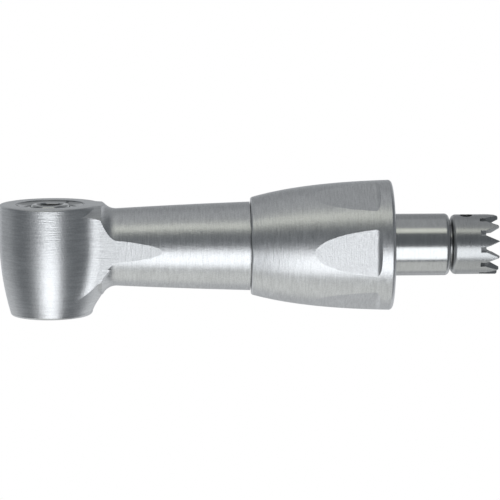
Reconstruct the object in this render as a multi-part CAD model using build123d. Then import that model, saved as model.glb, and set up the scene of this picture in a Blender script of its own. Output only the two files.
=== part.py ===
"""Contra-angle head section: a screw-in polishing head with its neck, coupling sleeve and crown gear.

Frame, in millimetres: the drive shaft lies along X and the spindle along Z, and they cross at the
origin. +X points to the rear coupling and +Z out of the open face of the head.
"""
import os
from math import atan, cos, hypot, pi, radians, sin, sqrt, tan
from typing import NamedTuple

from build123d import *


class Bearing(NamedTuple):
    """A deep-groove ball bearing, with its centre's place along its axis."""

    bore_r: float
    outer_r: float
    width: float
    ball_r: float
    balls: int
    centre: float

    @property
    def start(self):
        return self.centre - self.width / 2

    @property
    def end(self):
        return self.centre + self.width / 2


# ---- driving dimensions ---------------------------------------------------------------------
UPPER_BEARING = Bearing(bore_r=1.95, outer_r=3.4, width=1.0, ball_r=0.33, balls=16, centre=3.15)
LOWER_BEARING = Bearing(bore_r=1.1, outer_r=2.75, width=1.2, ball_r=0.4, balls=8, centre=-4.7)
FRONT_BEARING = Bearing(bore_r=1.25, outer_r=2.75, width=1.4, ball_r=0.38, balls=9, centre=5.7)
REAR_BEARING = Bearing(bore_r=1.25, outer_r=2.3, width=1.6, ball_r=0.28, balls=11, centre=37.4)
RACE_GAP = 0.03  # between a ball and its race

HEAD_R = 5.12  # head barrel
HEAD_TOP = 4.37
HEAD_BOTTOM = -6.76
BARREL_CURVE_START = 1.0  # the barrel is straight above this height
BARREL_CURVE_R = 28.0  # and curves in below it
TOP_EDGE_R = 0.2
FOOT_EDGE_R = 0.35
CHAMBER_R = 3.25  # gear chamber in the head
CHAMBER_BOTTOM = -3.6
HEAD_FLOOR = -5.45
PINION_CHAMBER_R = 2.55

NECK_FRONT = 6.52  # the hollow in front of the neck ends here
NECK_MIDDLE = 13.2
NECK_REAR = 19.9
NECK_FRONT_R = 3.87
NECK_MIDDLE_R = 4.19
NECK_REAR_R = 4.44
HOLLOW_R = 1.5  # hollow between the neck and the flare
FLARE_END = 5.17  # crease between the flare and the hollow
FLARE_CURVE = [(4.2, 4.94), (3.1, 5.26)]  # (x, radius) along the flare, towards the head
FLARE_INSIDE = (2.0, 5.6)
FLAT_Y = 3.68  # half width over the two side flats at FLAT_AT
FLAT_AT = 6.3
FLAT_SLOPE = 0.086
FLAT_BLEND_R = 3.0  # side flats to barrel
BLEND_SINK = 0.005  # the blend dips this far into the barrel, so that the two surfaces cross
# underside blend: (height, reach along X, centre along X) of its round sections above the foot
GUSSET_SECTIONS = [(-5.7, 4.46, 0.4), (-4.95, 4.94, 0.9), (-4.0, 5.6, 1.0), (-2.8, 6.5, 1.0), (-1.8, 7.2, 1.0)]

CAP_R = 3.45  # front cap, the screwed ring in the open face
CAP_BORE_R = 2.0
CAP_TOP = 4.26
CAP_DISH = 4.08  # lowest height of its dished face
CAP_BOTTOM = 3.7
SEAL_R = 2.9  # spindle seal's seat in the cap
SEAL_TOP = 3.95
SEAL_LIP_R = 2.02
SEAL_BODY_R = 2.88
NOTCHES = 3
NOTCH_START = 180.0  # first spanner notch, degrees about the spindle axis from +X

SPINDLE_TOP = 4.36
SPINDLE_BOTTOM = -5.4
SPINDLE_R = 1.85
SPINDLE_COLLAR_R = 2.15
WHEEL_BORE_R = 1.5
WHEEL_SEAT_TOP = -1.55
TAP_R = 1.3  # minor radius of the 5-40 thread in the spindle
TAP_BOTTOM = -0.6
COUNTERSINK = 0.15
PRELOAD_WASHER_R = (2.15, 2.7)  # inner and outer radius

MODULE = 0.36  # bevel gears at their large end
PINION_TEETH = 12
WHEEL_TEETH = 16
FACE_WIDTH = 0.9
PRESSURE_ANGLE = 20
TOOTH_THICKNESS = 1.25  # at the pitch cone, in modules; pi / 2 leaves no backlash
ADDENDUM = 0.85 * MODULE
DEDENDUM = 1.25 * MODULE
TOOTH_SINK = 0.1 * MODULE  # a tooth's foot goes this far into its blank
WHEEL_HUB_R = 2.2
WHEEL_HUB_END = 3.05
PINION_HUB_R = 1.5

SHAFT_R = 1.5
SHAFT_JOURNAL_R = 1.25
PINION_SEAT_R = 0.9
SHAFT_FRONT = 2.15
SHAFT_STEP = 34.0  # the rear journal starts here
SHAFT_REAR = 42.2
SHAFT_SPACER_R = 1.6
CROWN_SPACER_R = 1.75

TUBE_FRONT = 15.0  # inner tube: screwed into the neck, ends as the rear collar
TUBE_BORE_R = 1.8
TUBE_SCREW_R = 3.3
TUBE_JOURNAL_R = 3.6
TUBE_FLANGE_R = 4.4
FLANGE_FRONT = 23.0
FLANGE_REAR = 24.2
COLLAR_R = 3.1
COLLAR_REAR = 39.85
COLLAR_EDGE_R = 0.45
O_RING_GROOVE = (25.2, 26.0)
O_RING_SEAT_R = 2.75
O_RING_SECTION_R = 0.3
BEARING_STOP = 36.5  # shoulder in front of the rear bearing
CLIP_GROOVE = (38.3, 38.62)
CLIP_GROOVE_R = 2.5
CLIP_FRONT = 38.32
CLIP_INNER_R = 1.95
CLIP_THICKNESS = 0.28
CLIP_GAP_DEG = 70
REAR_SEAL = (38.75, 39.5)
REAR_SEAL_LIP_R = 1.82
SPACER_TUBE_FRONT = FRONT_BEARING.end + 0.05
SPACER_TUBE_R = (2.1, 2.72)
THRUST_WASHER_FRONT = 22.78
THRUST_WASHER_R = (3.66, 4.35)

SLEEVE_FRONT = 20.0
SLEEVE_REAR = 34.12
SLEEVE_FRONT_R = 4.9
SLEEVE_CURVE = [(23.0, 5.56), (26.0, 6.01), (30.0, 6.36), (33.8, 6.52)]  # (x, radius) along the grip
SLEEVE_BORE_R = 3.65
SLEEVE_SHOULDER = 22.72
SLEEVE_RELIEF_R = 4.5
THREAD_FRONT = 27.0
SLEEVE_THREAD_R = 4.75
THREAD_CHAMFER = 0.3
FLUTES = 6
FLUTE_FLAT = 6.03  # distance from the drive axis to a flute's flat floor
FLUTE_FRONT = 24.0  # the floor meets the grip's surface behind this
FLUTE_REAR = 32.18
FLUTE_END_R = 0.6

CROWN_FRONT = 40.05
CROWN_BOSS_FRONT = 39.6
CROWN_BOSS_R = 2.0
CROWN_R = 2.995
CROWN_BORE_R = 2.0
CROWN_FRONT_EDGE_R = 0.5
CROWN_TIP_EDGE_R = 0.2
CROWN_MOUTH_R = 2.6  # the bore opens out to this between the teeth's roots and tips
CROWN_ROOT = 42.83
CROWN_TIP = 44.7
CROWN_TEETH = 11
CROWN_GAP_START = 27.9  # first tooth gap, degrees about the drive axis from +Z towards -Y
GAP_HALF_WIDTH = 0.27
GAP_KNEE = 0.55  # a gap is parallel up to this height above its root, and opens above it
GAP_FLOOR_SLOPE = 0.75  # rise of a gap's floor towards the bore
CROWN_PIN_X = 41.55
CROWN_PIN_R = 0.62
CROWN_PIN_INSET = 0.45
CROWN_PIN_TURN = 5.0  # degrees about the drive axis


# ---- helpers ----------------------------------------------------------------------------------
def turned(outline, axis):
    """A turned piece: a closed outline of (along X, along Z) points, revolved about one axis.
    A list among the points is a curve through its points, an arc if there are two of them."""
    with BuildPart() as part:
        with BuildSketch(Plane.XZ):
            with BuildLine():
                here = outline[0]
                for step in [*outline[1:], outline[0]]:
                    if isinstance(step, tuple):
                        Line(here, step)
                        here = step
                    elif len(step) == 2:
                        ThreePointArc(here, *step)
                        here = step[-1]
                    else:
                        Spline(here, *step)
                        here = step[-1]
            make_face()
        revolve(axis=axis)
    return part.part


def turned_on_x(outline):
    return turned(outline, Axis.X)


def turned_on_z(outline):
    return turned(outline, Axis.Z)


def ring_on_x(x0, x1, inner, outer):
    return turned_on_x([(x0, inner), (x1, inner), (x1, outer), (x0, outer)])


def ring_on_z(z0, z1, inner, outer):
    return turned_on_z([(inner, z0), (outer, z0), (outer, z1), (inner, z1)])


def round_rims(part, edge_r, *rims):
    """Rounds circular edges of a piece turned about X, each given as (x, radius)."""
    found = [
        edge
        for edge in part.edges()
        for x, r in rims
        if abs(edge.center().X - x) < 0.001 and abs(edge.bounding_box().max.Z - r) < 0.001
    ]
    return part.fillet(edge_r, found)


def around(shape, count, axis, start=0.0):
    """Copies of a shape, evenly spaced about an axis."""
    return [shape.rotate(axis, start + 360.0 * i / count) for i in range(count)]


def on_drive_axis(x):
    """Placement of a piece modelled about Z onto the drive axis, centred at x."""
    return Location((x, 0, 0), (0, 90, 0))


def on_spindle_axis(z):
    return Pos(0, 0, z)


def save(name, shape):
    export_step(shape, f"parts/{name}.step")


# ---- head housing -----------------------------------------------------------------------------
def barrel_r(z):
    """Outer radius of the head barrel at a height."""
    if z >= BARREL_CURVE_START:
        return HEAD_R
    drop = BARREL_CURVE_START - z
    return HEAD_R - BARREL_CURVE_R + sqrt(BARREL_CURVE_R**2 - drop**2)


def flat_y(x):
    """Half width of the housing over its side flats."""
    return FLAT_Y + FLAT_SLOPE * (x - FLAT_AT)


def foot_round(r):
    """Start, middle and end of the round at the foot of an outline of radius r."""
    centre = (r - FOOT_EDGE_R, HEAD_BOTTOM + FOOT_EDGE_R)
    diagonal = FOOT_EDGE_R / sqrt(2)
    return (centre[0], HEAD_BOTTOM), (centre[0] + diagonal, centre[1] - diagonal), (r, centre[1])


def barrel():
    foot_top = HEAD_BOTTOM + FOOT_EDGE_R
    middle = (BARREL_CURVE_START + foot_top) / 2
    start, bend, end = foot_round(barrel_r(foot_top))
    part = turned_on_z(
        [
            (0, HEAD_BOTTOM), start, [bend, end],
            [(barrel_r(middle), middle), (HEAD_R, BARREL_CURVE_START)],
            (HEAD_R, HEAD_TOP), (0, HEAD_TOP),
        ]
    )
    return part.rotate(Axis.Z, 180)


def flared_neck():
    """Flare, hollow and tapered neck, turned about the drive axis."""
    centre_r = NECK_FRONT_R + HOLLOW_R

    def hollow(reach):
        """Point of the hollow at a distance in front of the neck."""
        return (NECK_FRONT - reach, centre_r - sqrt(HOLLOW_R**2 - reach**2))

    reach = NECK_FRONT - FLARE_END
    return turned_on_x(
        [
            (0, 0), (NECK_REAR, 0), (NECK_REAR, NECK_REAR_R),
            [(NECK_MIDDLE, NECK_MIDDLE_R), (NECK_FRONT, NECK_FRONT_R)],
            [hollow(0.6 * reach), hollow(reach)], FLARE_CURVE, FLARE_INSIDE, (0, FLARE_INSIDE[1]),
        ]
    )


def gusset():
    """Underside blend between the flare and the barrel, which it joins flush above the foot."""
    foot_top = HEAD_BOTTOM + FOOT_EDGE_R
    sections = [Pos(0, 0, foot_top) * Circle(barrel_r(foot_top) - BLEND_SINK)]
    for height, reach, centre in GUSSET_SECTIONS:
        sections.append(Pos(centre, 0, height) * Circle(reach - centre))
    return loft(sections)


def plan_section(z):
    """Plan outline at one height: the side flats, blended into the barrel by an arc on each side."""
    r = barrel_r(z) - BLEND_SINK
    norm = hypot(1, FLAT_SLOPE)
    along = (1 / norm, FLAT_SLOPE / norm)
    out = (-FLAT_SLOPE / norm, 1 / norm)
    # centre of the blend arc: FLAT_BLEND_R off the flat and off the barrel
    base = (FLAT_AT + FLAT_BLEND_R * out[0], FLAT_Y + FLAT_BLEND_R * out[1])
    b = base[0] * along[0] + base[1] * along[1]
    c = base[0] ** 2 + base[1] ** 2 - (r + FLAT_BLEND_R) ** 2
    t = -b + sqrt(b * b - c)
    centre = (base[0] + t * along[0], base[1] + t * along[1])
    on_barrel = (centre[0] * r / (r + FLAT_BLEND_R), centre[1] * r / (r + FLAT_BLEND_R))
    on_flat = (centre[0] - FLAT_BLEND_R * out[0], centre[1] - FLAT_BLEND_R * out[1])
    mid_dir = (on_barrel[0] + on_flat[0] - 2 * centre[0], on_barrel[1] + on_flat[1] - 2 * centre[1])
    scale = FLAT_BLEND_R / hypot(*mid_dir)
    mid = (centre[0] + mid_dir[0] * scale, centre[1] + mid_dir[1] * scale)
    end = (NECK_REAR + 1, flat_y(NECK_REAR + 1))

    def other(p):
        return (p[0], -p[1])

    with BuildSketch(Plane.XY.offset(z)) as sketch:
        with BuildLine():
            ThreePointArc(on_barrel, mid, on_flat)
            Polyline(on_flat, end, other(end), other(on_flat))
            ThreePointArc(other(on_flat), other(mid), other(on_barrel))
            Polyline(other(on_barrel), (0, 0), on_barrel)
        make_face()
    return sketch.sketch


def plan_block():
    """The housing's plan outline as a block, tall enough for the neck."""
    upper = extrude(plan_section(BARREL_CURVE_START), HEAD_R - BARREL_CURVE_START)
    steps = 5
    drop = HEAD_BOTTOM - BARREL_CURVE_START
    lower = loft([plan_section(BARREL_CURVE_START + drop * i / steps) for i in range(steps + 1)])
    return upper + lower


def above_the_open_face():
    """What the flat open face trims off the flare."""
    return Pos(0, 0, HEAD_TOP + HEAD_R) * Box(2 * FLAT_AT, 3 * HEAD_R, 2 * HEAD_R)


def head_housing():
    outer = barrel() + ((plan_block() & (flared_neck() + gusset())) - above_the_open_face())
    rim = [edge for edge in outer.edges() if edge.bounding_box().min.Z > HEAD_TOP - 0.001]
    outer = outer.fillet(TOP_EDGE_R, [edge for edge in rim if edge.center().X < FLAT_AT])
    outside = 1
    head_cavity = turned_on_z(
        [
            (0, HEAD_TOP + outside), (CAP_R, HEAD_TOP + outside), (CAP_R, UPPER_BEARING.end),
            (UPPER_BEARING.outer_r, UPPER_BEARING.end), (UPPER_BEARING.outer_r, UPPER_BEARING.start),
            (CHAMBER_R, UPPER_BEARING.start), (CHAMBER_R, CHAMBER_BOTTOM),
            (LOWER_BEARING.outer_r, CHAMBER_BOTTOM), (LOWER_BEARING.outer_r, HEAD_FLOOR), (0, HEAD_FLOOR),
        ]
    )
    neck_bore = turned_on_x(
        [
            (0, 0), (0, PINION_CHAMBER_R), (FRONT_BEARING.start, PINION_CHAMBER_R),
            (FRONT_BEARING.start, FRONT_BEARING.outer_r), (TUBE_FRONT, FRONT_BEARING.outer_r),
            (TUBE_FRONT, TUBE_SCREW_R), (NECK_REAR + outside, TUBE_SCREW_R), (NECK_REAR + outside, 0),
        ]
    )
    return outer - head_cavity - neck_bore


def front_cap():
    """Screwed ring in the open face, dished on top, with spanner notches."""
    lip_r = 3.3
    dish_r = 2.7
    inner_height = 4.12
    cap = turned_on_z(
        [
            (CAP_BORE_R, SEAL_TOP), (SEAL_R, SEAL_TOP), (SEAL_R, CAP_BOTTOM), (CAP_R, CAP_BOTTOM),
            (CAP_R, CAP_TOP), (lip_r, CAP_TOP), [(dish_r, CAP_DISH), (CAP_BORE_R, inner_height)],
        ]
    )
    notch = Pos(lip_r, 0, CAP_TOP) * Box(0.5, 0.3, 0.2)
    for cutter in around(notch, NOTCHES, Axis.Z, NOTCH_START):
        cap -= cutter
    return cap


# ---- ball bearings ----------------------------------------------------------------------------
def save_bearing(name, size, place):
    """A bearing as inner ring, outer ring, balls and cage, modelled about Z and put in its place."""
    pitch_r = (size.bore_r + size.outer_r) / 2
    shoulder = 0.45 * size.ball_r
    groove = Torus(pitch_r, size.ball_r + RACE_GAP)
    half = size.width / 2
    inner = ring_on_z(-half, half, size.bore_r, pitch_r - shoulder) - groove
    outer = ring_on_z(-half, half, pitch_r + shoulder, size.outer_r) - groove
    ball_set = around(Pos(pitch_r, 0, 0) * Sphere(size.ball_r), size.balls, Axis.Z)
    cage = ring_on_z(-0.9 * half, 0.9 * half, pitch_r - shoulder / 2, pitch_r + shoulder / 2)
    pocket = Location((pitch_r, 0, 0), (0, 90, 0)) * Cylinder(size.ball_r + RACE_GAP, 4 * shoulder)
    for cutter in around(pocket, size.balls, Axis.Z):
        cage -= cutter
    save(f"{name}_inner_ring", place * inner)
    save(f"{name}_outer_ring", place * outer)
    save(f"{name}_balls", Compound(children=[place * ball for ball in ball_set]))
    save(f"{name}_cage", place * cage)


def circlip(x, inner, outer, thickness, gap_deg):
    """An open retaining ring about the drive axis, its gap at the bottom."""
    ring = ring_on_x(x, x + thickness, inner, outer)
    gap_width = 2 * inner * sin(radians(gap_deg / 2))
    gap_depth = 2 * (outer - 0.2)
    return ring - Pos(x + thickness / 2, 0, -outer) * Box(3 * thickness, gap_width, gap_depth)


# ---- bevel gears ------------------------------------------------------------------------------
def bevel_gear(teeth, mate_teeth, bore_r, hub_r, hub_end, phase):
    """A straight bevel gear about Z. Its cone's apex is at the origin and its hub is above the teeth."""
    pitch_r = MODULE * teeth / 2
    mate_r = MODULE * mate_teeth / 2
    cone = atan(pitch_r / mate_r)
    inner_scale = 1 - FACE_WIDTH / hypot(pitch_r, mate_r)
    half = TOOTH_THICKNESS * MODULE / 2
    flank = tan(radians(PRESSURE_ANGLE))
    rim_step = 0.25  # the blank's back is bevelled inwards by this much
    rim_height = 0.35
    rim_base = 0.45

    def at(scale, height):
        """Point of the cone's profile: (radius, height along the axis)."""
        return (scale * (pitch_r + height * cos(cone)), scale * (mate_r - height * sin(cone)))

    root_out = at(1, -DEDENDUM)
    root_in = at(inner_scale, -DEDENDUM)
    blank = turned_on_z(
        [
            (bore_r, root_in[1]), root_in, root_out, (root_out[0] - rim_step, root_out[1] + rim_height),
            (hub_r, root_out[1] + rim_base), (hub_r, hub_end), (bore_r, hub_end),
        ]
    )

    def section(scale):
        """Outline of a tooth across its length: local x is tangential and local y is outwards."""
        origin = (scale * pitch_r, 0, scale * mate_r)
        plane = Plane(origin=origin, x_dir=(0, 1, 0), z_dir=(sin(cone), 0, cos(cone)))
        sign = 1 if plane.y_dir.X > 0 else -1
        foot = (scale * (half + DEDENDUM * flank), -sign * scale * (DEDENDUM + TOOTH_SINK))
        tip = (scale * (half - ADDENDUM * flank), sign * scale * ADDENDUM)
        with BuildSketch(plane) as sketch:
            with BuildLine():
                Polyline((-foot[0], foot[1]), (-tip[0], tip[1]), tip, foot, close=True)
            make_face()
        return sketch.sketch

    tooth = loft([section(inner_scale), section(1)])
    gear = blank
    for copy in around(tooth, teeth, Axis.Z, phase):
        gear += copy
    return gear


# ---- spindle ----------------------------------------------------------------------------------
def spindle():
    """Spindle with the screw bore for a polishing cup, open at the top."""
    lower_r = LOWER_BEARING.bore_r
    upper_r = UPPER_BEARING.bore_r
    chamfer = 0.1
    collar_bottom = UPPER_BEARING.start - 0.2
    mouth = TAP_R + COUNTERSINK
    body = turned_on_z(
        [
            (0, SPINDLE_BOTTOM), (lower_r - chamfer, SPINDLE_BOTTOM), (lower_r, SPINDLE_BOTTOM + chamfer),
            (lower_r, LOWER_BEARING.end), (WHEEL_BORE_R, LOWER_BEARING.end), (WHEEL_BORE_R, WHEEL_SEAT_TOP),
            (SPINDLE_R, WHEEL_SEAT_TOP), (SPINDLE_R, collar_bottom), (SPINDLE_COLLAR_R, collar_bottom),
            (SPINDLE_COLLAR_R, UPPER_BEARING.start), (upper_r, UPPER_BEARING.start),
            (upper_r, SPINDLE_TOP - 0.25), [(upper_r - 0.1, SPINDLE_TOP - 0.08), (mouth + 0.15, SPINDLE_TOP)],
            (0, SPINDLE_TOP),
        ]
    )
    drill_point = 0.6
    bore = turned_on_z(
        [
            (0, TAP_BOTTOM - drill_point), (TAP_R, TAP_BOTTOM), (TAP_R, SPINDLE_TOP - COUNTERSINK),
            (mouth, SPINDLE_TOP), (mouth, SPINDLE_TOP + 1), (0, SPINDLE_TOP + 1),
        ]
    )
    return body - bore


# ---- drive line -------------------------------------------------------------------------------
def drive_shaft():
    front_chamfer = 0.1
    rear_chamfer = 0.2
    shaft = turned_on_x(
        [
            (SHAFT_FRONT, 0), (SHAFT_FRONT, PINION_SEAT_R - front_chamfer),
            (SHAFT_FRONT + front_chamfer, PINION_SEAT_R), (FRONT_BEARING.start, PINION_SEAT_R),
            (FRONT_BEARING.start, SHAFT_JOURNAL_R), (FRONT_BEARING.end, SHAFT_JOURNAL_R),
            (FRONT_BEARING.end, SHAFT_R), (SHAFT_STEP, SHAFT_R), (SHAFT_STEP, SHAFT_JOURNAL_R),
            (SHAFT_REAR - rear_chamfer, SHAFT_JOURNAL_R), (SHAFT_REAR, SHAFT_JOURNAL_R - rear_chamfer),
            (SHAFT_REAR, 0),
        ]
    )
    return shaft - crown_pin_hole()


def crown_pin_hole():
    hole = Pos(CROWN_PIN_X, 0, 0) * Cylinder(CROWN_PIN_R, 2 * CROWN_R + 1)
    return hole.rotate(Axis.X, CROWN_PIN_TURN)


def crown_pin():
    pin = Pos(CROWN_PIN_X, 0, 0) * Cylinder(CROWN_PIN_R, 2 * (CROWN_R - CROWN_PIN_INSET))
    return pin.rotate(Axis.X, CROWN_PIN_TURN)


def crown_gear():
    """Cup with pointed face teeth, pinned on the rear end of the shaft."""
    bore_end = SHAFT_REAR + 0.2
    cup = turned_on_x(
        [
            (CROWN_BOSS_FRONT, SHAFT_JOURNAL_R), (CROWN_BOSS_FRONT, CROWN_BOSS_R), (CROWN_FRONT, CROWN_BOSS_R),
            (CROWN_FRONT, CROWN_R), (CROWN_TIP, CROWN_R), (CROWN_TIP, CROWN_MOUTH_R),
            (CROWN_ROOT, CROWN_BORE_R), (bore_end, CROWN_BORE_R), (bore_end, SHAFT_JOURNAL_R),
        ]
    )
    cup = round_rims(cup, CROWN_FRONT_EDGE_R, (CROWN_FRONT, CROWN_R))
    cup = round_rims(cup, CROWN_TIP_EDGE_R, (CROWN_TIP, CROWN_R))
    # one gap, drawn on the plane of its sloping floor's normal: local y runs towards the tips
    tip_half_width = pi * CROWN_R / CROWN_TEETH + 0.02
    depth = CROWN_TIP - CROWN_ROOT
    outside = 0.5
    reach = 2.4
    inwards = Vector(GAP_FLOOR_SLOPE, 0, -1).normalized()
    plane = Plane(origin=(CROWN_ROOT, 0, CROWN_R), x_dir=(0, 1, 0), z_dir=inwards)
    up = (1 if plane.y_dir.X > 0 else -1) * cos(atan(GAP_FLOOR_SLOPE))
    with BuildPart() as gap:
        with BuildSketch(plane.offset(-outside)):
            with BuildLine():
                Polyline(
                    (-GAP_HALF_WIDTH, 0), (GAP_HALF_WIDTH, 0), (GAP_HALF_WIDTH, up * GAP_KNEE),
                    (tip_half_width, up * depth), (tip_half_width, up * 2 * depth),
                    (-tip_half_width, up * 2 * depth), (-tip_half_width, up * depth),
                    (-GAP_HALF_WIDTH, up * GAP_KNEE), close=True,
                )
            make_face()
        extrude(amount=reach)
    for cutter in around(gap.part, CROWN_TEETH, Axis.X, CROWN_GAP_START):
        cup -= cutter
    return cup - crown_pin_hole()


# ---- inner tube and sleeve --------------------------------------------------------------------
def inner_tube():
    """Tube screwed into the neck: sleeve journal, retaining flange and the long rear collar."""
    flange_chamfer = 0.2
    groove_start, groove_end = O_RING_GROOVE
    clip_start, clip_end = CLIP_GROOVE
    seat_r = REAR_BEARING.outer_r
    tube = turned_on_x(
        [
            (TUBE_FRONT, TUBE_BORE_R), (TUBE_FRONT, TUBE_SCREW_R), (NECK_REAR, TUBE_SCREW_R),
            (NECK_REAR, TUBE_JOURNAL_R), (FLANGE_FRONT, TUBE_JOURNAL_R), (FLANGE_FRONT, TUBE_FLANGE_R),
            (FLANGE_REAR - flange_chamfer, TUBE_FLANGE_R), (FLANGE_REAR, TUBE_FLANGE_R - flange_chamfer),
            (FLANGE_REAR, COLLAR_R), (groove_start, COLLAR_R), (groove_start, O_RING_SEAT_R),
            (groove_end, O_RING_SEAT_R), (groove_end, COLLAR_R), (COLLAR_REAR, COLLAR_R),
            (COLLAR_REAR, seat_r), (clip_end, seat_r), (clip_end, CLIP_GROOVE_R),
            (clip_start, CLIP_GROOVE_R), (clip_start, seat_r), (BEARING_STOP, seat_r),
            (BEARING_STOP, TUBE_BORE_R),
        ]
    )
    return round_rims(tube, COLLAR_EDGE_R, (COLLAR_REAR, COLLAR_R))


def coupling_sleeve():
    """Grip sleeve with flat flutes, free to turn between the neck and the tube's flange."""
    front_chamfer = 0.12
    rear_round = [(SLEEVE_REAR - 0.09, 6.38), (SLEEVE_REAR, 6.18)]
    relief_step = SLEEVE_THREAD_R - SLEEVE_RELIEF_R
    sleeve = turned_on_x(
        [
            (SLEEVE_FRONT, SLEEVE_BORE_R), (SLEEVE_FRONT, SLEEVE_FRONT_R - front_chamfer),
            (SLEEVE_FRONT + front_chamfer, SLEEVE_FRONT_R), SLEEVE_CURVE, rear_round,
            (SLEEVE_REAR, SLEEVE_THREAD_R + THREAD_CHAMFER), (SLEEVE_REAR - THREAD_CHAMFER, SLEEVE_THREAD_R),
            (THREAD_FRONT, SLEEVE_THREAD_R), (THREAD_FRONT - relief_step, SLEEVE_RELIEF_R),
            (SLEEVE_SHOULDER, SLEEVE_RELIEF_R), (SLEEVE_SHOULDER, SLEEVE_BORE_R),
        ]
    )
    bend = FLUTE_END_R / sqrt(2)
    outside = FLUTE_FLAT + 2
    with BuildPart() as flute:
        with BuildSketch(Plane.XY.offset(-SLEEVE_REAR)):
            with BuildLine():
                Line((FLUTE_FRONT, FLUTE_FLAT), (FLUTE_REAR, FLUTE_FLAT))
                ThreePointArc(
                    (FLUTE_REAR, FLUTE_FLAT),
                    (FLUTE_REAR + bend, FLUTE_FLAT + FLUTE_END_R - bend),
                    (FLUTE_REAR + FLUTE_END_R, FLUTE_FLAT + FLUTE_END_R),
                )
                Polyline(
                    (FLUTE_REAR + FLUTE_END_R, FLUTE_FLAT + FLUTE_END_R),
                    (FLUTE_REAR + FLUTE_END_R, outside), (FLUTE_FRONT, outside), (FLUTE_FRONT, FLUTE_FLAT),
                )
            make_face()
        extrude(amount=2 * SLEEVE_REAR)
    for cutter in around(flute.part, FLUTES, Axis.X):
        sleeve -= cutter
    return sleeve


# ---- build ------------------------------------------------------------------------------------
os.makedirs("parts", exist_ok=True)

save("head_housing", head_housing())
save("front_cap", front_cap())
save("spindle_seal", ring_on_z(CAP_BOTTOM, SEAL_TOP, SEAL_LIP_R, SEAL_BODY_R))
save("preload_washer", ring_on_z(HEAD_FLOOR, LOWER_BEARING.start, *PRELOAD_WASHER_R))
save("inner_tube", inner_tube())
save("spacer_tube", ring_on_x(SPACER_TUBE_FRONT, TUBE_FRONT, *SPACER_TUBE_R))
save("thrust_washer", ring_on_x(THRUST_WASHER_FRONT, FLANGE_FRONT, *THRUST_WASHER_R))
o_ring_centre = sum(O_RING_GROOVE) / 2
o_ring = Torus(O_RING_SEAT_R + O_RING_SECTION_R, O_RING_SECTION_R)
save("collar_o_ring", on_drive_axis(o_ring_centre) * o_ring)
save("rear_circlip", circlip(CLIP_FRONT, CLIP_INNER_R, CLIP_GROOVE_R, CLIP_THICKNESS, CLIP_GAP_DEG))
save("rear_seal", ring_on_x(*REAR_SEAL, REAR_SEAL_LIP_R, REAR_BEARING.outer_r))

save("spindle", spindle())
save("drive_shaft", drive_shaft())
save("crown_gear", crown_gear())
save("crown_pin", crown_pin())
save("shaft_spacer", ring_on_x(SHAFT_STEP, REAR_BEARING.start, SHAFT_JOURNAL_R, SHAFT_SPACER_R))
save("crown_spacer", ring_on_x(REAR_BEARING.end, CROWN_BOSS_FRONT, SHAFT_JOURNAL_R, CROWN_SPACER_R))

wheel = bevel_gear(WHEEL_TEETH, PINION_TEETH, WHEEL_BORE_R, WHEEL_HUB_R, WHEEL_HUB_END, 180 / WHEEL_TEETH)
pinion = bevel_gear(PINION_TEETH, WHEEL_TEETH, PINION_SEAT_R, PINION_HUB_R, FRONT_BEARING.start, 0)
save("spindle_gear", wheel.rotate(Axis.X, 180))
save("drive_pinion", on_drive_axis(0) * pinion)

save_bearing("upper_spindle_bearing", UPPER_BEARING, on_spindle_axis(UPPER_BEARING.centre))
save_bearing("lower_spindle_bearing", LOWER_BEARING, on_spindle_axis(LOWER_BEARING.centre))
save_bearing("front_shaft_bearing", FRONT_BEARING, on_drive_axis(FRONT_BEARING.centre))
save_bearing("rear_shaft_bearing", REAR_BEARING, on_drive_axis(REAR_BEARING.centre))

save("coupling_sleeve", coupling_sleeve())
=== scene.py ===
"""Finishes, studio and camera for the head of a contra angle handpiece.
Lengths are in metres, angles in degrees."""
import math

import bpy
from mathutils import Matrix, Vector


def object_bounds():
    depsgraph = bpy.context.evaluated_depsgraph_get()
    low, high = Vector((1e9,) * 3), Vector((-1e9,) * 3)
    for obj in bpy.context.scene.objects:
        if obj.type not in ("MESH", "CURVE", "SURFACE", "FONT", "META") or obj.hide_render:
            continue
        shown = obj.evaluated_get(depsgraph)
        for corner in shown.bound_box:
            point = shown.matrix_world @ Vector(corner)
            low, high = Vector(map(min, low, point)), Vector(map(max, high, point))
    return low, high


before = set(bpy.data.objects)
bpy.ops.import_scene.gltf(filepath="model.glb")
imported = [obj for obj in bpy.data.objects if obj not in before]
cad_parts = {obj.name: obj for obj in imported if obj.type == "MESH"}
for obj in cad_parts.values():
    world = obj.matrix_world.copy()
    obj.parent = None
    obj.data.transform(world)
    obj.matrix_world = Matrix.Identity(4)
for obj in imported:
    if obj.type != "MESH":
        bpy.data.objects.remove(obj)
cad_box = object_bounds()

MM = 0.001

# The camera: where it stands, seen from the point that it looks at, and how far it is rolled.
VIEW_AZIMUTH = -1.4
VIEW_ELEVATION = 8.0
VIEW_DISTANCE = 250 * MM
VIEW_ROLL = -0.25
LENS_MM = 179.6
SENSOR_MM = 36
AIM_X = 19.93 * MM
AIM_DROP = 0.425 * MM
CLIP_NEAR = 10 * MM
CLIP_FAR = 20

# The studio: softboxes on a sphere around the object, in a dim grey room with a white floor.
STUDIO_RADIUS = 0.8
BOX_SHIFT = -12
AMBIENT = (0.155, 0.165, 0.176)
WHITE = (1, 1, 1)
COOL = (0.985, 1.0, 1.02)
WARM = (1.0, 1.0, 0.88)
FAINTLY_WARM = (1.0, 1.0, 0.95)
FLOOR_HALF_SIZE = 3.0
FLOOR_GAP = 0.05 * MM

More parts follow.
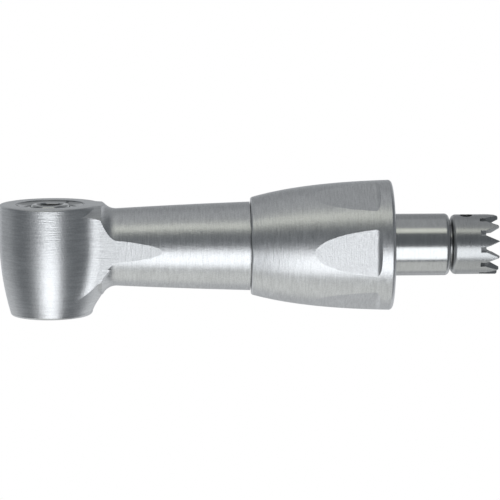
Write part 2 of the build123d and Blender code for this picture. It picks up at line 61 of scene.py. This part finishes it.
# The colours.
SATIN = (0.68, 0.69, 0.697)
POLISHED = (0.55, 0.56, 0.562)
CROWN_STEEL = (0.48, 0.49, 0.495)
BEARING_STEEL = (0.66, 0.66, 0.65)
GEAR_STEEL = (0.5, 0.5, 0.5)
SPRING_STEEL = (0.42, 0.43, 0.46)
BRONZE = (0.62, 0.42, 0.22)
RUBBER = (0.02, 0.02, 0.021)
POLYMER = (0.32, 0.21, 0.1)

# The satin finish of the housing and the sleeve.
SATIN_ROUGHNESS = 0.35
SATIN_MARKS = 0.02 * MM
SATIN_GRIT = 0.015 * MM
SATIN_VARIATION = 0.1
NECK_START = 5.5 * MM
NECK_END = 7.5 * MM

# What all the steels share. Streaks are thin along the axis that the steel is turned or brushed around.
AXES = {"X": (1, 0, 0), "Z": (0, 0, 1)}
STREAK_SIZES = {"X": (0.15 * MM, 1.2 * MM, 1.2 * MM), "Z": (1.6 * MM, 1.6 * MM, 0.13 * MM)}
GRAIN_SIZE = 0.13 * MM
CLOUD_SIZE = 3 * MM
CLOUD_SHADE = 0.02
STREAK_ROUGHNESS = 0.1
ANISOTROPY = 0.3
QUARTER_TURN = 0.25

# Edges are rounded off and worn brighter and smoother. The two shares say how alike the rounded and the
# true normal are on a worn edge and on plain surface.
EDGE_ROUND = 0.05 * MM
EDGE_SAMPLES = 6
EDGE_ALIKE = 0.85
PLAIN_ALIKE = 0.99
WEAR_BRIGHTENING = 0.06
WEAR_SMOOTHING = 0.2

# Rubber and polymer.
SPECKLE_DEPTH = 0.004 * MM
SPECKLE_ROUGHNESS = 0.15

# Where the Mix node keeps its share, its two values and its result, for each kind of data.
MIX_SOCKETS = {"FLOAT": (0, 2, 3, 0), "VECTOR": (0, 4, 5, 1)}


# ---------------------------------------------------------------- camera


def direction(azimuth, elevation):
    """The unit vector towards a point seen at that azimuth, from -Y towards +X, and elevation."""
    a = math.radians(azimuth)
    e = math.radians(elevation)
    return Vector((math.sin(a) * math.cos(e), -math.cos(a) * math.cos(e), math.sin(e)))


def aim(thing, target):
    """Turns a camera or light so that its -Z axis points at the target."""
    thing.rotation_euler = (target - thing.location).to_track_quat("-Z", "Y").to_euler()


def add_camera():
    target = Vector((AIM_X, 0, -AIM_DROP))
    data = bpy.data.cameras.new("camera")
    data.lens = LENS_MM
    data.sensor_width = SENSOR_MM
    data.clip_start = CLIP_NEAR
    data.clip_end = CLIP_FAR
    camera = bpy.data.objects.new("camera", data)
    bpy.context.scene.collection.objects.link(camera)
    camera.location = target + VIEW_DISTANCE * direction(VIEW_AZIMUTH, VIEW_ELEVATION)
    aim(camera, target)
    camera.rotation_euler.rotate_axis("Z", math.radians(VIEW_ROLL))
    bpy.context.scene.camera = camera


# ---------------------------------------------------------------- studio


def softbox(name, radiance, low, high, half_width, azimuth=0, tint=WHITE, shift=0):
    """An area light between two elevations at an azimuth, as the object's middle sees it.
    An elevation over 90 is behind the object, half_width is half its width in degrees, and shift is
    how far it stands off to +X, in degrees."""
    half_height = math.radians((high - low) / 2)
    data = bpy.data.lights.new(name, "AREA")
    data.shape = "RECTANGLE"
    data.size = 2 * STUDIO_RADIUS * math.tan(math.radians(half_width))
    data.size_y = 2 * STUDIO_RADIUS * math.tan(half_height)
    data.energy = radiance * math.pi * data.size * data.size_y
    data.color = tint
    light = bpy.data.objects.new(name, data)
    bpy.context.scene.collection.objects.link(light)
    middle = Vector(((cad_box[0][0] + cad_box[1][0]) / 2, 0, 0))
    light.location = middle + STUDIO_RADIUS * direction(azimuth, (low + high) / 2)
    aim(light, middle)
    light.location.x += STUDIO_RADIUS * math.tan(math.radians(shift))
    light.visible_camera = False


def add_studio():
    softbox("front_box", 1.8, low=-50, high=-2.5, half_width=19.5, tint=COOL)
    softbox("front_left_box", 0.35, low=-50, high=-2.5, half_width=10, azimuth=-30, tint=COOL)
    softbox("low_box", 0.6, low=-110, high=-59, half_width=27, tint=FAINTLY_WARM, shift=BOX_SHIFT)
    softbox("low_back_box", 0.34, low=-160, high=-110, half_width=60)
    softbox("top_box", 0.92, low=52, high=70, half_width=27, tint=WARM, shift=BOX_SHIFT)
    softbox("sky_box", 0.27, low=70, high=118, half_width=27, shift=BOX_SHIFT)
    softbox("back_top_box", 0.17, low=118, high=160, half_width=50)
    softbox("back_box", 0.36, low=160, high=200, half_width=40, tint=COOL)
    softbox("left_box", 0.18, low=-60, high=20, half_width=35, azimuth=-125, tint=COOL)
    softbox("right_box", 0.2, low=-60, high=20, half_width=35, azimuth=125, tint=COOL)


def add_world():
    """White to the camera, a dim grey room to everything else."""
    world = bpy.data.worlds.new("world")
    bpy.context.scene.world = world
    world.use_nodes = True
    tree = world.node_tree
    tree.nodes.clear()
    path = tree.nodes.new("ShaderNodeLightPath")
    seen = tree.nodes.new("ShaderNodeBackground")
    seen.inputs["Color"].default_value = (*WHITE, 1)
    ambient = tree.nodes.new("ShaderNodeBackground")
    ambient.inputs["Color"].default_value = (*AMBIENT, 1)
    either = tree.nodes.new("ShaderNodeMixShader")
    out = tree.nodes.new("ShaderNodeOutputWorld")
    tree.links.new(path.outputs["Is Camera Ray"], either.inputs[0])
    tree.links.new(ambient.outputs[0], either.inputs[1])
    tree.links.new(seen.outputs[0], either.inputs[2])
    tree.links.new(either.outputs[0], out.inputs["Surface"])


def add_floor():
    """A plain white floor under the head, lit from within, so that it holds no shadow."""
    material = bpy.data.materials.new("floor_white")
    material.use_nodes = True
    tree = material.node_tree
    tree.nodes.clear()
    glow = tree.nodes.new("ShaderNodeEmission")
    out = tree.nodes.new("ShaderNodeOutputMaterial")
    tree.links.new(glow.outputs[0], out.inputs["Surface"])
    mesh = bpy.data.meshes.new("floor")
    s = FLOOR_HALF_SIZE
    z = cad_box[0][2] - FLOOR_GAP
    mesh.from_pydata([(-s, -s, z), (s, -s, z), (s, s, z), (-s, s, z)], [], [(0, 1, 2, 3)])
    mesh.materials.append(material)
    floor = bpy.data.objects.new("floor", mesh)
    bpy.context.scene.collection.objects.link(floor)
    for ray in ("diffuse", "glossy", "transmission", "volume_scatter", "shadow"):
        setattr(floor, "visible_" + ray, False)


# ---------------------------------------------------------------- material helpers


def new_material(name):
    material = bpy.data.materials.new(name)
    material.use_nodes = True
    tree = material.node_tree
    shader = tree.nodes["Principled BSDF"]
    return material, tree, shader


def feed(tree, socket, value):
    """Links a socket into an input, or sets the input to a number, colour or vector."""
    if isinstance(value, bpy.types.NodeSocket):
        tree.links.new(value, socket)
    else:
        socket.default_value = value


def math_node(tree, operation, *values):
    node = tree.nodes.new("ShaderNodeMath")
    node.operation = operation
    for socket, value in zip(node.inputs, values):
        feed(tree, socket, value)
    return node.outputs[0]


def vector_node(tree, operation, first, second, output="Vector"):
    node = tree.nodes.new("ShaderNodeVectorMath")
    node.operation = operation
    feed(tree, node.inputs[0], first)
    feed(tree, node.inputs[1], second)
    return node.outputs[output]


def mix(tree, kind, share, first, second):
    """The first value where the share is 0 and the second where it is 1. The kind is FLOAT or VECTOR."""
    node = tree.nodes.new("ShaderNodeMix")
    node.data_type = kind
    share_socket, first_socket, second_socket, result = MIX_SOCKETS[kind]
    feed(tree, node.inputs[share_socket], share)
    feed(tree, node.inputs[first_socket], first)
    feed(tree, node.inputs[second_socket], second)
    return node.outputs[result]


def scaled_colour(tree, value, colour):
    node = tree.nodes.new("ShaderNodeVectorMath")
    node.operation = "SCALE"
    node.inputs[0].default_value = colour
    tree.links.new(value, node.inputs["Scale"])
    return node.outputs[0]


def spread(tree, value, low, high, low_in=0.3, high_in=0.7):
    """Maps a value between low_in and high_in onto low to high, clamped."""
    node = tree.nodes.new("ShaderNodeMapRange")
    for name, number in (("From Min", low_in), ("From Max", high_in), ("To Min", low), ("To Max", high)):
        node.inputs[name].default_value = number
    tree.links.new(value, node.inputs["Value"])
    return node.outputs[0]


def place(tree):
    """A point's place in the row frame at rest, in metres."""
    return tree.nodes.new("ShaderNodeTexCoord").outputs["Object"]


def noise(tree, point, sizes, detail=2.0, roughness=0.5):
    """Noise from 0 to 1 whose grains have those sizes along X, Y and Z, in metres."""
    scaled = vector_node(tree, "MULTIPLY", point, [1 / size for size in sizes])
    node = tree.nodes.new("ShaderNodeTexNoise")
    node.inputs["Scale"].default_value = 1.0
    node.inputs["Detail"].default_value = detail
    node.inputs["Roughness"].default_value = roughness
    tree.links.new(scaled, node.inputs["Vector"])
    return node.outputs["Fac"]


def streaks_around(tree, point, axis):
    """Fine tool marks around the axis "X" or "Z"."""
    return noise(tree, point, STREAK_SIZES[axis], detail=3)


def way_around(tree, point, axis):
    """The direction around the axis "X" or "Z" through the frame's origin, in world space."""
    around = vector_node(tree, "CROSS_PRODUCT", AXES[axis], point)
    turn = tree.nodes.new("ShaderNodeVectorTransform")
    turn.vector_type = "VECTOR"
    turn.convert_from = "OBJECT"
    turn.convert_to = "WORLD"
    tree.links.new(around, turn.inputs[0])
    return turn.outputs[0]


def bump(tree, height, normal):
    """The normal bent by a height in metres."""
    node = tree.nodes.new("ShaderNodeBump")
    node.inputs["Distance"].default_value = 1.0
    tree.links.new(height, node.inputs["Height"])
    tree.links.new(normal, node.inputs["Normal"])
    return node.outputs[0]


def soft_edges(tree):
    """The normal with edges rounded off, and how worn a point is: 1 on an edge, 0 away from it."""
    round_off = tree.nodes.new("ShaderNodeBevel")
    round_off.samples = EDGE_SAMPLES
    round_off.inputs["Radius"].default_value = EDGE_ROUND
    rounded = round_off.outputs[0]
    surface = tree.nodes.new("ShaderNodeNewGeometry").outputs["Normal"]
    alike = vector_node(tree, "DOT_PRODUCT", rounded, surface, output="Value")
    return rounded, spread(tree, alike, 1, 0, low_in=EDGE_ALIKE, high_in=PLAIN_ALIKE)


# ---------------------------------------------------------------- materials


def finish_steel(made, point, streaks, around, colour, roughness, marks, grit, variation):
    """Steel with tool marks along a direction. made is what new_material gives, marks and grit are the
    depths of the marks and the grain, in metres, and variation is how much they darken the steel."""
    material, tree, shader = made
    grain = noise(tree, point, (GRAIN_SIZE,) * 3, detail=3, roughness=0.6)
    cloud = noise(tree, point, (CLOUD_SIZE,) * 3)
    rounded, worn = soft_edges(tree)
    marks_height = math_node(tree, "MULTIPLY", streaks, marks)
    grain_height = math_node(tree, "MULTIPLY", grain, grit)
    height = math_node(tree, "ADD", marks_height, grain_height)
    marks_shade = spread(tree, streaks, 1 - variation, 1 + variation)
    grain_shade = spread(tree, grain, 1 - variation, 1 + variation)
    shade = math_node(tree, "MULTIPLY", marks_shade, grain_shade)
    shade = math_node(tree, "ADD", shade, spread(tree, cloud, -CLOUD_SHADE, CLOUD_SHADE))
    shade = math_node(tree, "MULTIPLY_ADD", worn, WEAR_BRIGHTENING, shade)
    smoothest = (1 - STREAK_ROUGHNESS) * roughness
    roughest = (1 + STREAK_ROUGHNESS) * roughness
    worn_share = spread(tree, worn, 1, 1 - WEAR_SMOOTHING, low_in=0, high_in=1)
    rough = math_node(tree, "MULTIPLY", spread(tree, streaks, smoothest, roughest), worn_share)
    shader.inputs["Metallic"].default_value = 1.0
    shader.inputs["Anisotropic"].default_value = ANISOTROPY
    shader.inputs["Anisotropic Rotation"].default_value = QUARTER_TURN
    feed(tree, shader.inputs["Base Color"], scaled_colour(tree, shade, colour))
    feed(tree, shader.inputs["Roughness"], rough)
    feed(tree, shader.inputs["Tangent"], around)
    feed(tree, shader.inputs["Normal"], bump(tree, height, rounded))
    return material


def steel(name, colour, axis, roughness, marks=0.002 * MM, grit=0.0, variation=0.03):
    """Steel turned around the axis "X" or "Z"."""
    made = new_material(name)
    tree = made[1]
    point = place(tree)
    streaks = streaks_around(tree, point, axis)
    around = way_around(tree, point, axis)
    return finish_steel(made, point, streaks, around, colour, roughness, marks, grit, variation)


def housing_steel():
    """The head is brushed around its own axis, the neck around the drive axis."""
    made = new_material("satin_housing")
    tree = made[1]
    point = place(tree)
    parts = tree.nodes.new("ShaderNodeSeparateXYZ")
    tree.links.new(point, parts.inputs[0])
    neck = spread(tree, parts.outputs["X"], 0, 1, low_in=NECK_START, high_in=NECK_END)
    streaks = mix(tree, "FLOAT", neck, streaks_around(tree, point, "Z"), streaks_around(tree, point, "X"))
    around = mix(tree, "VECTOR", neck, way_around(tree, point, "Z"), way_around(tree, point, "X"))
    return finish_steel(made, point, streaks, around, SATIN, SATIN_ROUGHNESS, SATIN_MARKS, SATIN_GRIT,
                        SATIN_VARIATION)


def dull(name, colour, roughness, variation=0.15):
    """Rubber and moulded polymer."""
    material, tree, shader = new_material(name)
    point = place(tree)
    speckle = noise(tree, point, (GRAIN_SIZE,) * 3, detail=4, roughness=0.6)
    rounded, worn = soft_edges(tree)
    shade = math_node(tree, "MULTIPLY_ADD", worn, variation, spread(tree, speckle, 1 - variation, 1))
    feed(tree, shader.inputs["Base Color"], scaled_colour(tree, shade, colour))
    smoothest = (1 - SPECKLE_ROUGHNESS) * roughness
    feed(tree, shader.inputs["Roughness"], spread(tree, speckle, smoothest, roughness))
    height = math_node(tree, "MULTIPLY", speckle, SPECKLE_DEPTH)
    feed(tree, shader.inputs["Normal"], bump(tree, height, rounded))
    return material


# ---------------------------------------------------------------- finishes on the CAD nodes


def add_finishes():
    """Each node's finish goes by its CAD material, except for the pieces turned around the spindle's axis."""
    housing = housing_steel()
    sleeve = steel("satin_sleeve", SATIN, "X", SATIN_ROUGHNESS, SATIN_MARKS, SATIN_GRIT, SATIN_VARIATION)
    crown = steel("hardened_crown", CROWN_STEEL, "X", roughness=0.3, grit=0.006 * MM, variation=0.07)
    gear = steel("cut_gear_steel", GEAR_STEEL, "X", roughness=0.3, grit=0.003 * MM, variation=0.06)
    polished_z = steel("turned_around_spindle", POLISHED, "Z", roughness=0.15)
    bearing_z = steel("ground_around_spindle", BEARING_STEEL, "Z", roughness=0.1, marks=0.0005 * MM)
    bearing_x = steel("ground_around_drive", BEARING_STEEL, "X", roughness=0.1, marks=0.0005 * MM)
    by_slot = {
        "satin_steel": sleeve,
        "turned_steel": steel("turned_around_drive", POLISHED, "X", roughness=0.22, variation=0.05),
        "crown_steel": crown,
        "gear_steel": gear,
        "bearing_steel": bearing_x,
        "bronze": steel("turned_bronze", BRONZE, "X", roughness=0.25, variation=0.06),
        "cage_polymer": dull("cage_polymer", POLYMER, roughness=0.5),
        "seal_rubber": dull("seal_rubber", RUBBER, roughness=0.55),
        "spring_steel": steel("spring_steel", SPRING_STEEL, "X", roughness=0.25),
    }
    by_node = {"head_housing": housing, "front_cap": polished_z, "spindle": polished_z}
    for name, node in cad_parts.items():
        slot = node.material_slots[0]
        material = by_node.get(name) or by_slot[slot.material.name.split(".")[0]]
        if name.startswith(("upper_spindle_bearing", "lower_spindle_bearing")) and material is bearing_x:
            material = bearing_z
        slot.material = material


add_camera()
add_studio()
add_world()
add_floor()
add_finishes()
bpy.context.scene.view_settings.view_transform = "Standard"
